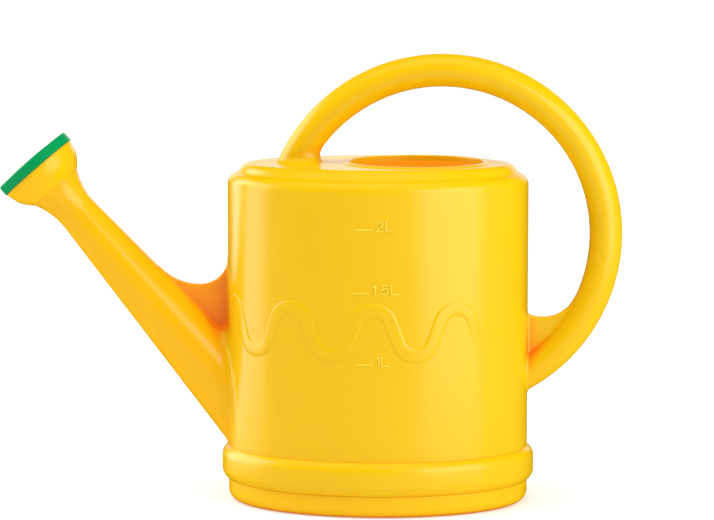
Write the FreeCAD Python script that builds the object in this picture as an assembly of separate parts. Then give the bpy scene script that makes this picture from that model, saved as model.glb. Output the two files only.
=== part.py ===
import FreeCAD, Part
import math
import os

# Two-litre watering can. The tank, spout, bell and handle are regions of one hollow moulding, and each
# region is a closed solid of its own that meets its neighbours face to face. The rose presses on.
# Frame, in millimetres: origin on the tank's axis, on the surface that the can stands on; +Z up, the
# spout towards -X, the handle towards +X. The moulding is the same on both sides of the plane Y = 0.

Vector = FreeCAD.Vector
Y_AXIS = Vector(0, 1, 0)
Z_AXIS = Vector(0, 0, 1)

# Driving dimensions
WALL = 2.0                    # thickness of the moulding
TANK_A = 79.5                 # half length of the oval tank
TANK_B = 57.0                 # half depth of the oval tank
BASE_TO_BAND = 11.8           # height of the band's lower edge
BAND_TOP = 29.8               # height of the band's upper edge
SHOULDER_Z = 167.0            # where the straight wall hands over to the deck's shell
DECK_Z = 180.1                # top of the raised deck
OPENING_X = 20.3              # centre of the round fill opening
OPENING_R = 35.4              # its clear radius
HANDLE_R = 86.45              # radius of the handle's centre line
HANDLE_CENTRE = Vector(33.95, 0, 142.5)
HANDLE_TUBE_R = 8.6           # outer radius of the handle's tube
SPOUT_RISE_DEG = 49.0         # the spout's slope above the horizontal
ROSE_FACE = Vector(-183.4, 0, 180.3)   # centre of the rose's rim plane, on the spout's axis
ROSE_R = 22.6                 # outer radius of the rose

# Foot and bottom
FOOT_ROUND = 6.0
PAD_A = 66.0                  # the pushed-up middle of the bottom
PAD_B = 43.0
PAD_RISE = 2.5

# Band round the base
BAND_PROUD = 3.4
BAND_ROUND = 6.2
BAND_LOW_RUN = 0.6            # how far the band's rounded edges run on below and above it, unseen
BAND_HIGH_RUN = 0.8

# Shoulder and raised deck
SHOULDER_TOP = 175.0
SHOULDER_ROUND = 6.0
DECK_INSET = 5.3              # foot of the deck's leaning side, inside the wall
DECK_LEAN = 3.7               # how far the side leans in on its way up
DECK_ROUND = 2.0
INNER_ROUND = 4.0
BEAD_WIDTH = 5.0
BEAD_HEIGHT = 1.0
BEAD_CROWN = 1.5              # the crown's distance from the bead's inner face

# Handle: angles are measured at the arc's centre, from +X towards +Z
HANDLE_START_DEG = -64.0
HANDLE_END_DEG = 161.0

# Webs: each is a plate in the mirror plane whose hollowed top edge leaves the wall, dips and ends on the tube
WEB_THICK = 5.0
WEB_FOOT_Z = 74.0             # lower end of both plates on the wall
HANDLE_WEB_TOP_Z = 101.2      # where the top edge leaves the wall
HANDLE_WEB_DIP = Vector(88.0, 0, 98.4)
HANDLE_WEB_TIP = Vector(106.0, 0, 110.0)
HANDLE_WEB_HEEL = Vector(93.0, 0, 80.0)     # inside the tube, which cuts it off
SPOUT_WEB_TOP_Z = 127.2
SPOUT_WEB_DIP = Vector(-94.6, 0, 115.0)
SPOUT_WEB_TIP = Vector(-119.0, 0, 126.5)
SPOUT_WEB_HEEL = Vector(-98.0, 0, 92.0)

# Spout, bell and rose: distances back along the axis from the rose's rim plane, and radii
CONE_BACK = 205.0
CONE_BACK_R = 20.85
CONE_FRONT = 42.0
CONE_FRONT_R = 10.8
FLARE_MID = 26.0
FLARE_MID_R = 11.9
NECK = 18.2
NECK_R = 15.0
BELL_MID = 12.2
BELL_MID_R = 19.9
BELL_RIM = 5.1
BELL_RIM_R = 22.0
SPIGOT_R = 20.8
SPIGOT_FRONT = 2.3
SPIGOT_WALL = 1.6
ROSE_BACK = 4.8
ROSE_FRONT = -0.6
ROSE_SKIRT = 1.6
ROSE_FACE_THICK = 1.6
ROSE_EDGE = 0.9               # rounding of the rose's outer edge
DOME_R = 19.9                 # radius of the domed middle of the face
DOME_RISE = 0.9
DOME_RISE_HALF_WAY = 0.675    # its rise at half that radius
HOLE_R = 0.65
HOLE_RING_STEP = 4.3
HOLE_RINGS = 4
HOLES_PER_RING_STEP = 6

# Raised wave on both broad faces, drawn on the unrolled wall
WAVE_PROUD = 0.5
WAVE_WIDTH = 7.6
WAVE_Z = 97.3
WAVE_CREST_S = -0.5           # distance of one crest from the middle of the face
WAVE_HALF_PERIOD = 22.2
WAVE_ARC_R = 9.6
WAVE_FLANK_DEG = 70.0
WAVE_FIRST = -4               # half periods from the crest near the middle
WAVE_LAST = 3
WAVE_ARC_STEPS = 8
UNROLL_STEPS = 400            # steps of the quarter turn that the wall is unrolled in

# Raised level marks on the front face
MARK_PROUD = 0.5
MARK_STROKE = 0.9
GLYPH_HEIGHT = 5.6
GLYPH_GAP = 0.4
GLYPH_WIDTHS = {"1": 1.4, ".": 0.45, "2": 3.8, "5": 3.8, "L": 3.4}
ONE_FLAG_Z = 3.5              # where the flag of the 1 starts
TWO_BOWL_R = 1.5
FIVE_BOWL_R = 1.6
FIVE_BAR_END = 3.4            # right end of the bar on top of the 5
FIVE_STEM_TOP = 0.8
FIVE_STEM_FOOT = (0.4, 2.2)
FIVE_BOWL_X = 1.7
DASH_LENGTH = 8.3
DASH_GAP = 2.0
DASH_LIFT = 0.6               # height of the dash above the foot of its label
LEVELS = (("1L", 80.9, -9.0), ("1.5L", 117.9, -10.9), ("2L", 150.6, -9.2))   # label, height, dash's start


# Shared shapes

def rounded(block, height, radius):
    """The block with its level edges at a height rounded."""
    edges = [edge for edge in block.Edges
             if abs(edge.BoundBox.ZMin - height) < 0.01 and abs(edge.BoundBox.ZMax - height) < 0.01]
    return block.makeFillet(radius, edges)


def oval_prism(half_a, half_b, low, high, low_round=0.0, high_round=0.0):
    """An upright oval block, with its end edges rounded where a radius is given."""
    ellipse = Part.Ellipse(Vector(0, 0, low), half_a, half_b).toShape()
    block = Part.Face(Part.Wire([ellipse])).extrude(Vector(0, 0, high - low))
    for height, radius in ((low, low_round), (high, high_round)):
        if radius:
            block = rounded(block, height, radius)
    return block


def tank_oval(inset, low, high, low_round=0.0, high_round=0.0):
    """An oval block whose side is a distance inside the tank's wall, or outside it when negative."""
    return oval_prism(TANK_A - inset, TANK_B - inset, low, high, low_round, high_round)


def oval_wire(inset, height):
    """The outline of the tank at a height, a distance inside its wall."""
    return Part.Wire([Part.Ellipse(Vector(0, 0, height), TANK_A - inset, TANK_B - inset).toShape()])


def cylinder(centre_x, radius, low, high):
    return Part.makeCylinder(radius, high - low, Vector(centre_x, 0, low), Z_AXIS)


def side_plate(edges, thickness):
    """A plate in the mirror plane, from a closed outline there."""
    face = Part.Face(Part.Wire(edges))
    face.translate(Vector(0, -thickness / 2, 0))
    return face.extrude(Vector(0, thickness, 0))


def handle_arc(radius):
    """A solid rod bent along the handle's arc, running on into the tank at both ends."""
    start = math.radians(HANDLE_START_DEG)
    spoke = Vector(math.cos(start), 0, math.sin(start))
    tangent = Vector(-math.sin(start), 0, math.cos(start))
    circle = Part.Circle(HANDLE_CENTRE + spoke * HANDLE_R, tangent, radius).toShape()
    disc = Part.Face(Part.Wire([circle]))
    return disc.revolve(HANDLE_CENTRE, -Y_AXIS, HANDLE_END_DEG - HANDLE_START_DEG)


RISE = math.radians(SPOUT_RISE_DEG)
SPOUT_OUT = Vector(-math.cos(RISE), 0, math.sin(RISE))
SPOUT_SIDE = Vector(math.sin(RISE), 0, math.cos(RISE))


def on_spout(back, radius):
    """The point a distance back from the rose's rim plane and a radius from the spout's axis."""
    return ROSE_FACE - SPOUT_OUT * back + SPOUT_SIDE * radius


def line(start, end):
    return Part.LineSegment(start, end).toShape()


def arc(start, middle, end):
    return Part.Arc(start, middle, end).toShape()


def turned(edges):
    """A solid turned about the spout's axis from a closed half outline."""
    return Part.Face(Part.Wire(edges)).revolve(ROSE_FACE, SPOUT_OUT, 360)


def spout_rod(inset):
    """The solid spout as far as the bell's neck, made smaller all round by the inset."""
    back = on_spout(CONE_BACK, CONE_BACK_R - inset)
    front = on_spout(CONE_FRONT, CONE_FRONT_R - inset)
    middle = on_spout(FLARE_MID, FLARE_MID_R - inset)
    neck = on_spout(NECK, NECK_R - inset)
    axis_front = on_spout(NECK, 0)
    axis_back = on_spout(CONE_BACK, 0)
    return turned([line(axis_back, back), line(back, front), arc(front, middle, neck),
                   line(neck, axis_front), line(axis_front, axis_back)])


# Tank

def base_pan():
    foot = tank_oval(0, 0, BASE_TO_BAND, low_round=FOOT_ROUND)
    room = tank_oval(WALL, WALL, BASE_TO_BAND, low_round=INNER_ROUND)
    pad = oval_prism(PAD_A + WALL, PAD_B + WALL, 0, WALL + PAD_RISE)
    recess = oval_prism(PAD_A, PAD_B, 0, PAD_RISE)
    return foot.cut(room.cut(pad)).cut(recess)


def base_band():
    outer = tank_oval(-BAND_PROUD, BASE_TO_BAND - BAND_LOW_RUN, BAND_TOP + BAND_HIGH_RUN,
                      BAND_ROUND, BAND_ROUND)
    bulge = tank_oval(WALL - BAND_PROUD, BASE_TO_BAND - BAND_LOW_RUN + WALL, BAND_TOP + BAND_HIGH_RUN - WALL,
                      BAND_ROUND - WALL, BAND_ROUND - WALL)
    core = tank_oval(WALL, 0, SHOULDER_Z)
    slab = tank_oval(-2 * BAND_PROUD, BASE_TO_BAND, BAND_TOP)
    return outer.cut(bulge).cut(core).common(slab)


def tank_wall():
    wall = tank_oval(0, BAND_TOP, SHOULDER_Z).cut(tank_oval(WALL, BAND_TOP, SHOULDER_Z))
    return wall.cut(spout_rod(WALL)).cut(handle_arc(HANDLE_TUBE_R - WALL))


def raised_deck(inset, drop):
    """The deck above the shoulder, with its side leaning in and its top edge rounded."""
    top_z = DECK_Z - drop
    wires = [oval_wire(inset + DECK_INSET, SHOULDER_TOP - drop),
             oval_wire(inset + DECK_INSET + DECK_LEAN, top_z)]
    block = Part.makeLoft(wires, True, True)
    return rounded(block, top_z, DECK_ROUND)


def deck_block(inset, drop):
    """The shoulder and raised deck as a solid block, offset inwards and downwards."""
    shoulder_top = SHOULDER_TOP - drop
    shoulder = tank_oval(inset, SHOULDER_Z, shoulder_top, high_round=SHOULDER_ROUND - inset)
    step = tank_oval(inset + DECK_INSET, SHOULDER_Z, shoulder_top)
    return shoulder.fuse(step).fuse(raised_deck(inset, drop))


def top_deck():
    shell = deck_block(0, 0).cut(deck_block(WALL, WALL))
    opened = shell.cut(cylinder(OPENING_X, OPENING_R, SHOULDER_Z, DECK_Z + 1))
    return opened.cut(handle_arc(HANDLE_TUBE_R - WALL))


def fill_rim():
    """The low rounded bead on the deck round the fill opening."""
    def point(radius, rise):
        return Vector(OPENING_X + radius, 0, DECK_Z + rise)

    inner_foot = point(OPENING_R, 0)
    inner_top = point(OPENING_R, BEAD_HEIGHT / 2)
    crown = point(OPENING_R + BEAD_CROWN, BEAD_HEIGHT)
    outer_foot = point(OPENING_R + BEAD_WIDTH, 0)
    outline = [line(inner_foot, inner_top), arc(inner_top, crown, outer_foot), line(outer_foot, inner_foot)]
    return Part.Face(Part.Wire(outline)).revolve(Vector(OPENING_X, 0, 0), Z_AXIS, 360)


def tank_envelope():
    """Everything inside the tank's outer surface, which the handle, spout and webs stop at."""
    return tank_oval(0, 0, SHOULDER_Z).fuse(deck_block(0, 0))


# Handle

def handle_tube():
    hollow = handle_arc(HANDLE_TUBE_R).cut(handle_arc(HANDLE_TUBE_R - WALL))
    return hollow.cut(tank_envelope())


def web_plate(wall_x, top_z, dip, tip, heel):
    """The plate of a web, running on into the tank and the tube that it joins."""
    wall_top = Vector(wall_x, 0, top_z)
    wall_foot = Vector(wall_x, 0, WEB_FOOT_Z)
    outline = [arc(wall_top, dip, tip), line(tip, heel), line(heel, wall_foot), line(wall_foot, wall_top)]
    return side_plate(outline, WEB_THICK).cut(tank_envelope())


def handle_web():
    """The thin web over the handle's lower root."""
    plate = web_plate(TANK_A - WALL, HANDLE_WEB_TOP_Z, HANDLE_WEB_DIP, HANDLE_WEB_TIP, HANDLE_WEB_HEEL)
    return plate.cut(handle_arc(HANDLE_TUBE_R))


# Spout

def spout_tube():
    return spout_rod(0).cut(spout_rod(WALL)).cut(tank_envelope())


def spout_web():
    """The thin web between the spout's upper side and the tank."""
    plate = web_plate(WALL - TANK_A, SPOUT_WEB_TOP_Z, SPOUT_WEB_DIP, SPOUT_WEB_TIP, SPOUT_WEB_HEEL)
    return plate.cut(spout_rod(0))


def spout_bell():
    """The hollow bowl on the spout's end, with the spigot that the rose presses on to."""
    neck_out = on_spout(NECK, NECK_R)
    side_out = on_spout(BELL_MID, BELL_MID_R)
    rim_out = on_spout(BELL_RIM, BELL_RIM_R)
    step = on_spout(BELL_RIM, SPIGOT_R)
    tip_out = on_spout(SPIGOT_FRONT, SPIGOT_R)
    tip_in = on_spout(SPIGOT_FRONT, SPIGOT_R - SPIGOT_WALL)
    rim_in = on_spout(BELL_RIM + WALL, SPIGOT_R - SPIGOT_WALL)
    side_in = on_spout(BELL_MID, BELL_MID_R - WALL)
    neck_in = on_spout(NECK, NECK_R - WALL)
    return turned([arc(neck_out, side_out, rim_out), line(rim_out, step), line(step, tip_out),
                   line(tip_out, tip_in), line(tip_in, rim_in), arc(rim_in, side_in, neck_in),
                   line(neck_in, neck_out)])


# Rose

def rose_holes():
    """Straight holes through the face, one in the middle and the rest on even rings."""
    places = [(0.0, 0.0)]
    for ring in range(1, HOLE_RINGS + 1):
        count = ring * HOLES_PER_RING_STEP
        for number in range(count):
            places.append((ring * HOLE_RING_STEP, 2 * math.pi * number / count))
    depth = DOME_RISE - ROSE_FRONT + 2 * ROSE_FACE_THICK
    holes = []
    for radius, angle in places:
        centre = ROSE_FACE + SPOUT_SIDE * (radius * math.cos(angle)) + Y_AXIS * (radius * math.sin(angle))
        holes.append(Part.makeCylinder(HOLE_R, 2 * depth, centre - SPOUT_OUT * depth, SPOUT_OUT))
    return Part.makeCompound(holes)


def rose():
    """The press-on cap: a skirt over the bell's spigot and a slightly domed, perforated face."""
    inner_r = ROSE_R - ROSE_SKIRT
    edge_bend = ROSE_EDGE * (1 - math.sqrt(0.5))
    skirt_back_out = on_spout(ROSE_BACK, ROSE_R)
    under = ROSE_FRONT + ROSE_FACE_THICK
    skirt_front = on_spout(ROSE_FRONT + ROSE_EDGE, ROSE_R)
    edge_middle = on_spout(ROSE_FRONT + edge_bend, ROSE_R - edge_bend)
    edge_front = on_spout(ROSE_FRONT, ROSE_R - ROSE_EDGE)
    dome_foot = on_spout(ROSE_FRONT, DOME_R)
    dome_side = on_spout(ROSE_FRONT - DOME_RISE_HALF_WAY, DOME_R / 2)
    dome_top = on_spout(ROSE_FRONT - DOME_RISE, 0)
    under_top = on_spout(under - DOME_RISE, 0)
    under_side = on_spout(under - DOME_RISE_HALF_WAY, DOME_R / 2)
    under_foot = on_spout(under, DOME_R)
    under_edge = on_spout(under, inner_r)
    skirt_back_in = on_spout(ROSE_BACK, inner_r)
    cap = turned([line(skirt_back_out, skirt_front), arc(skirt_front, edge_middle, edge_front),
                  line(edge_front, dome_foot), arc(dome_foot, dome_side, dome_top), line(dome_top, under_top),
                  arc(under_top, under_side, under_foot), line(under_foot, under_edge),
                  line(under_edge, skirt_back_in), line(skirt_back_in, skirt_back_out)])
    return cap.cut(rose_holes())


# Raised wave

def unroll_table():
    """Pairs of distance round the tank from the middle of the face and the X that it reaches."""
    pairs = [(0.0, 0.0)]
    step = math.pi / 2 / UNROLL_STEPS
    for number in range(1, UNROLL_STEPS + 1):
        turn = (number - 0.5) * step
        reach = math.hypot(TANK_A * math.cos(turn), TANK_B * math.sin(turn)) * step
        pairs.append((pairs[-1][0] + reach, TANK_A * math.sin(number * step)))
    return pairs


UNROLL = unroll_table()


def wall_x(distance):
    """The X of the wall at a distance round the tank from the middle of the face."""
    size = abs(distance)
    for (low_s, low_x), (high_s, high_x) in zip(UNROLL, UNROLL[1:]):
        if size <= high_s:
            x = low_x + (high_x - low_x) * (size - low_s) / (high_s - low_s)
            return math.copysign(x, distance)
    return math.copysign(TANK_A, distance)


def wave_side(offset):
    """Points along one side of the wave, a distance above or below its centre line."""
    flank = math.radians(WAVE_FLANK_DEG)
    straight = (WAVE_HALF_PERIOD - 2 * WAVE_ARC_R * math.sin(flank)) / math.cos(flank)
    swing = WAVE_ARC_R * (1 - math.cos(flank)) + straight * math.sin(flank) / 2
    points = []
    for bend in range(WAVE_FIRST, WAVE_LAST + 1):
        crest = 1 if bend % 2 == 0 else -1
        centre_s = WAVE_CREST_S + bend * WAVE_HALF_PERIOD
        centre_z = WAVE_Z + crest * (swing - WAVE_ARC_R)
        radius = WAVE_ARC_R + crest * offset
        first = WAVE_ARC_STEPS // 2 if bend == WAVE_FIRST else 0
        last = WAVE_ARC_STEPS // 2 if bend == WAVE_LAST else WAVE_ARC_STEPS
        for step in range(first, last + 1):
            angle = flank * (2 * step / WAVE_ARC_STEPS - 1)
            s = centre_s + radius * math.sin(angle)
            points.append((wall_x(s), centre_z + crest * radius * math.cos(angle)))
    return points


def wave_relief(side):
    """The raised wave on one broad face: side is -1 for the front and 1 for the back."""
    half = WAVE_WIDTH / 2
    outline = wave_side(half) + wave_side(-half)[::-1]
    corners = [Vector(x, 0, z) for x, z in outline]
    face = Part.Face(Part.makePolygon(corners + corners[:1]))
    blank = face.extrude(Vector(0, side * 2 * TANK_B, 0))
    skin = tank_oval(-WAVE_PROUD, BAND_TOP, SHOULDER_Z).cut(tank_oval(0, BAND_TOP, SHOULDER_Z))
    return blank.common(skin)


# Level marks

def curve_points(centre_x, centre_z, radius, start_deg, end_deg, steps=8):
    """Points along an arc, as parts of a glyph."""
    angles = [math.radians(start_deg + (end_deg - start_deg) * n / steps) for n in range(steps + 1)]
    return [(centre_x + radius * math.cos(a), centre_z + radius * math.sin(a)) for a in angles]


def glyph_stroke(character):
    """The one stroke that draws a character, from its lower left corner."""
    wide = GLYPH_WIDTHS[character]
    high = GLYPH_HEIGHT - MARK_STROKE
    strokes = {
        "1": [(0, ONE_FLAG_Z), (wide, high), (wide, 0)],
        ".": [(0, 0), (wide, 0)],
        "2": curve_points(wide / 2, high - TWO_BOWL_R, TWO_BOWL_R, 165, -40) + [(0, 0), (wide, 0)],
        "5": [(FIVE_BAR_END, high), (FIVE_STEM_TOP, high), FIVE_STEM_FOOT]
             + curve_points(FIVE_BOWL_X, FIVE_BOWL_R, FIVE_BOWL_R, 100, -140),
        "L": [(0, high), (0, 0), (wide, 0)],
    }
    return strokes[character]


def stroke_blank(stroke):
    """A stroke with round corners and ends, as a block through the front wall."""
    depth = Vector(0, -2 * TANK_B, 0)
    radius = MARK_STROKE / 2
    parts = [Part.makeCylinder(radius, depth.Length, Vector(x, 0, z), depth) for x, z in stroke]
    for start, end in zip(stroke, stroke[1:]):
        run = math.hypot(end[0] - start[0], end[1] - start[1])
        bar = Part.makeBox(run, depth.Length, MARK_STROKE, Vector(0, -depth.Length, -radius))
        turn = math.degrees(math.atan2(end[1] - start[1], end[0] - start[0]))
        bar.rotate(Vector(0, 0, 0), -Y_AXIS, turn)
        bar.translate(Vector(start[0], 0, start[1]))
        parts.append(bar)
    return parts[0].multiFuse(parts[1:])


def level_strokes():
    """Every stroke of the level marks: a dash and its label at each level."""
    strokes = []
    for label, height, start in LEVELS:
        strokes.append([(start, height), (start + DASH_LENGTH, height)])
        x = start + DASH_LENGTH + DASH_GAP
        for character in label:
            strokes.append([(x + dx, height - DASH_LIFT + dz) for dx, dz in glyph_stroke(character)])
            x += GLYPH_WIDTHS[character] + MARK_STROKE + GLYPH_GAP
    return strokes


def level_marks():
    skin = tank_oval(-MARK_PROUD, BAND_TOP, SHOULDER_Z).cut(tank_oval(0, BAND_TOP, SHOULDER_Z))
    marks = [stroke_blank(stroke).common(skin) for stroke in level_strokes()]
    return Part.makeCompound([solid for mark in marks for solid in mark.Solids])


NODES = {
    "base_pan": base_pan,
    "base_band": base_band,
    "tank_wall": tank_wall,
    "top_deck": top_deck,
    "fill_rim": fill_rim,
    "handle_tube": handle_tube,
    "handle_web": handle_web,
    "spout_tube": spout_tube,
    "spout_web": spout_web,
    "spout_bell": spout_bell,
    "rose": rose,
    "wave_relief_front": lambda: wave_relief(-1),
    "wave_relief_back": lambda: wave_relief(1),
    "level_marks": level_marks,
}


def main():
    os.makedirs("parts", exist_ok=True)
    for name, make in NODES.items():
        shape = make()
        print(name, len(shape.Solids), "solids", round(shape.Volume / 1000, 2), "cm3", shape.isValid())
        shape.exportStep("parts/" + name + ".step")


main()
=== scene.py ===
import itertools
import math

import bpy
import numpy as np
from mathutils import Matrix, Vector


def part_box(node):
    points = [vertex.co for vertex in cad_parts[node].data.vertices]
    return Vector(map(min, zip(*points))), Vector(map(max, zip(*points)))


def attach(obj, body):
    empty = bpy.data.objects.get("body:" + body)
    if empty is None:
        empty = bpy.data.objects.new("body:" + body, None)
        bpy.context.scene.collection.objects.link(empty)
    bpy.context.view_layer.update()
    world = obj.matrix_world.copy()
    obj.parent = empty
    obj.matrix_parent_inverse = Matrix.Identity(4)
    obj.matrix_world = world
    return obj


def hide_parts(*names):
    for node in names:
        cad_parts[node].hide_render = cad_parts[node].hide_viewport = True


# A two-litre watering can in yellow plastic with a green press-on rose.
# Lengths are in millimetres in the CAD frame, and build_mesh() turns them into metres: +Z up, the spout
# towards -X, the handle towards +X, and the same moulding on both sides of the plane Y = 0.
# The hollow moulding is a blend of simple bodies, written as fields that are negative inside. One skin
# is drawn on the blend and then cut along the creases into the named pieces.

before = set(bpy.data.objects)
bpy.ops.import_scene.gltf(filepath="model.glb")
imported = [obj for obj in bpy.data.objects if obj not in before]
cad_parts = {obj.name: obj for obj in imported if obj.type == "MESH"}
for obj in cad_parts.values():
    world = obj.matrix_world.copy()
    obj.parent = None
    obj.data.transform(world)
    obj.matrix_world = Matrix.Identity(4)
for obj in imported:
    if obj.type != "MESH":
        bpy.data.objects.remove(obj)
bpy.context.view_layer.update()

MM = 0.001


def node_box(name):
    """Lowest and highest corner of a CAD node in millimetres."""
    low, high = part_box(name)
    return np.array(low) / MM, np.array(high) / MM


# Sizes from the frame
WALL_LOW, WALL_HIGH = node_box("tank_wall")
TANK_A, TANK_B = round(WALL_HIGH[0], 1), round(WALL_HIGH[1], 1)
BAND_TOP, SHOULDER_Z = WALL_LOW[2], WALL_HIGH[2]
DECK_Z = node_box("top_deck")[1][2]
HANDLE_BOX = node_box("handle_tube")
HANDLE_TUBE_R = HANDLE_BOX[1][1]
HANDLE_R = 86.45
HANDLE_X = HANDLE_BOX[1][0] - HANDLE_TUBE_R - HANDLE_R
HANDLE_Z = HANDLE_BOX[1][2] - HANDLE_TUBE_R - HANDLE_R
OPENING_LOW, OPENING_HIGH = node_box("fill_rim")
OPENING_X = (OPENING_LOW[0] + OPENING_HIGH[0]) / 2
OPENING_R = 35.4

# Moulding
WALL = 2.0
SHOULDER_TOP = 175.0
SHOULDER_ROUND = 6.0
DECK_INSET = 5.3
DECK_TAPER = 3.7              # how far the deck's side leans in over its height
DECK_LEAN = math.atan2(DECK_TAPER, DECK_Z - SHOULDER_TOP)
DECK_ROUND = 2.0
DECK_CREASE = 1.0             # softness of the crease between shoulder and deck
LINING_BLEND = 4.0
WEB_BLEND = 1.2
WEB_THICK = 5.0
WEB_EDGE_ROUND = 1.2
HANDLE_WEB_CENTRE = (87.3, 117.4)
SPOUT_WEB_DIP = (-94.6, 115.0)
SPOUT_WEB_TUBE_R = 30.5       # where this arc touches the spout it runs along it

# Widths of the fillets: between the handle and the deck from the outer to the inner side of the bend, at
# the handle's root, and between the spout and the wall from under the spout to its ridge
FOOT_BLENDS = ((-8.0, 7.0), (9.5, 2.6))
ROOT_BLEND = 1.8
SPOUT_BLENDS = ((-1.0, 0.2, 1.0), (2.0, 3.5, 9.0))

# Spout: distances back along its axis from the rose's rim plane
SPOUT_RISE = math.radians(49)
ROSE_FACE = (-183.4, 180.3)   # X and Z of the centre of the rim plane
NECK = 18.2
CONE_PLACE = 50.0
CONE_R = 11.35
CONE_SLOPE = 0.066
FLARE = 5.75
FLARE_RUN = 20.0

# Foot, bottom and band
FOOT_ROUND = 6.0
PAD_A, PAD_B = 66.0, 43.0     # the pushed-up middle of the bottom
PAD_RISE = 2.5
PAD_ROUND = 1.0
PAD_EASE = 0.3                # slight roundings of its edges
PAD_LIP = [(-0.2, 0.4), (PAD_EASE, 0)]
INNER_ROUND = 4.0
BASE_TO_BAND = node_box("base_band")[0][2]
BAND_PROUD = 3.4
BAND_ROUND = 6.2
BAND_LOW_RUN, BAND_HIGH_RUN = 0.6, 0.8
OVAL_POINTS = 240

# Bead round the opening
BEAD_WIDTH, BEAD_HEIGHT, BEAD_CROWN = 5.0, 1.0, 1.5
BEAD_LIP = ((0.8, -0.08), (0.25, -0.3), (0, -0.7))   # inner edge: out from the opening, down from the crown

# Bell and rose: radii, and distances ahead of the rose's rim plane
BELL_NECK = (15.5, -NECK)     # a little proud of the spout's end
BELL_TURN = (19.6, -13.9)
BELL_SIDE = (20.5, -11.2)
BELL_RIM = (22.1, -5.3)
BELL_LIP = ((-0.05, 0.3), (-0.2, 0.45))   # round front edge, from its rim
INSIDE_LAG = 0.4              # the bell's inner outline lies this much behind its outer one
SPIGOT_R, SPIGOT_WALL, SPIGOT_FRONT, SPIGOT_EDGE = 20.8, 1.6, -2.3, 0.3
ROSE_R, ROSE_SKIRT, ROSE_BACK, ROSE_FRONT = 22.6, 1.6, -4.8, 0.6
ROSE_EDGE, ROSE_FACE_THICK = 0.9, 1.6
DOME_R, DOME_RISE = 19.9, 0.9
HOLE_R, HOLE_RING_STEP, HOLE_RINGS, HOLES_PER_RING_STEP = 0.65, 4.3, 4, 6
ROSE_STEP = 0.42
ROUND_POINTS = 160

# Raised wave, drawn on the unrolled wall
WAVE_PROUD, WAVE_WIDTH, WAVE_Z = 0.5, 7.6, 97.3
WAVE_EDGE = 1.3               # width of its soft edges
WAVE_CREST, WAVE_HALF_PERIOD, WAVE_ARC_R = -0.5, 22.2, 9.6
WAVE_FLANK = math.radians(70)
WAVE_BENDS = range(-4, 4)     # half periods from the crest in the middle of the face
WAVE_START_RUN = 2.0          # over which it rises at its start
WAVE_FADE = (48.0, 68.0)      # where the wave sinks into the wall
SUNK = 0.4                    # depth that reliefs start at below the wall's surface

# Level marks
MARK_PROUD, MARK_STROKE = 0.5, 0.9
GLYPH_HEIGHT, GLYPH_GAP = 5.6, 0.4
GLYPH_WIDTHS = {"1": 1.4, ".": 0.45, "2": 3.8, "5": 3.8, "L": 3.4}
ONE_FLAG_Z = 3.5              # where the flag of the 1 starts
TWO_R, FIVE_R = 1.5, 1.6      # bends of the 2 and the 5
DASH_LENGTH, DASH_GAP, DASH_LIFT = 8.3, 2.0, 0.6
LEVELS = (("1L", 80.9, -9.0), ("1.5L", 117.9, -10.9), ("2L", 150.6, -9.2))

SKIN_STEP = 1.2
INNER_STEP = 3.0
SNAP_SHARE = 0.3              # of a step: vertices this near to a cut are moved on to it
TINY = 1e-9                   # keeps divisions away from zero
FAR = 1e3
ON_CUT = 0.001


# Fields

def ellipse_gap(x, y, half_a, half_b):
    """Signed distance to an upright oval, positive outside."""
    px, py = np.abs(x), np.abs(y)
    tx = np.full_like(px, math.sqrt(0.5))    # a nearest-point search in the first quadrant
    ty = tx.copy()
    focus = half_a ** 2 - half_b ** 2
    for _ in range(5):
        ex, ey = focus * tx ** 3 / half_a, -focus * ty ** 3 / half_b
        reach = np.hypot(half_a * tx - ex, half_b * ty - ey)
        span = np.hypot(px - ex, py - ey) + TINY
        tx = np.clip(((px - ex) * reach / span + ex) / half_a, 0, 1)
        ty = np.clip(((py - ey) * reach / span + ey) / half_b, 0, 1)
        norm = np.hypot(tx, ty)
        tx, ty = tx / norm, ty / norm
    gap = np.hypot(px - half_a * tx, py - half_b * ty)
    return np.where((px / half_a) ** 2 + (py / half_b) ** 2 < 1, -gap, gap)


def blend(first, second, width):
    """The union of two fields, with a fillet about a quarter of the width deep."""
    near = np.maximum(width - np.abs(first - second), 0)
    return np.minimum(first, second) - near ** 2 / (4 * width)


def rounded_corner(across, up, radius):
    """A block that fills across < 0 and up < 0, with its edge rounded."""
    p, q = across + radius, up + radius
    return np.hypot(np.maximum(p, 0), np.maximum(q, 0)) + np.minimum(np.maximum(p, q), 0) - radius


def tank_field(gap, z, inset=0.0):
    """The oval wall with its round shoulder and the raised deck; gap is the distance outside the wall."""
    gap = gap + inset
    z = z + inset
    shoulder = rounded_corner(gap, z - SHOULDER_TOP, SHOULDER_ROUND - inset)
    lean = np.maximum(z - SHOULDER_TOP, 0) * math.sin(DECK_LEAN)
    side = (gap + DECK_INSET) * math.cos(DECK_LEAN) + lean
    deck = rounded_corner(side, z - DECK_Z, DECK_ROUND)
    return blend(shoulder, deck, DECK_CREASE)


def ring_gap(x, z):
    """Distance outside the handle's centre line in the mirror plane."""
    return np.hypot(x - HANDLE_X, z - HANDLE_Z) - HANDLE_R


def handle_field(x, y, z, inset=0.0):
    return np.hypot(ring_gap(x, z), y) - HANDLE_TUBE_R + inset


def spout_place(x, z):
    """Distance back along the spout's axis, and distance above the axis, of a place in the mirror plane."""
    dx, dz = x - ROSE_FACE[0], z - ROSE_FACE[1]
    back = dx * math.cos(SPOUT_RISE) - dz * math.sin(SPOUT_RISE)
    above = dx * math.sin(SPOUT_RISE) + dz * math.cos(SPOUT_RISE)
    return back, above


def spout_radius(back):
    flare = np.clip(1 - (back - NECK) / FLARE_RUN, 0, 2)
    return CONE_R + CONE_SLOPE * (back - CONE_PLACE) + FLARE * flare ** 2


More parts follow.
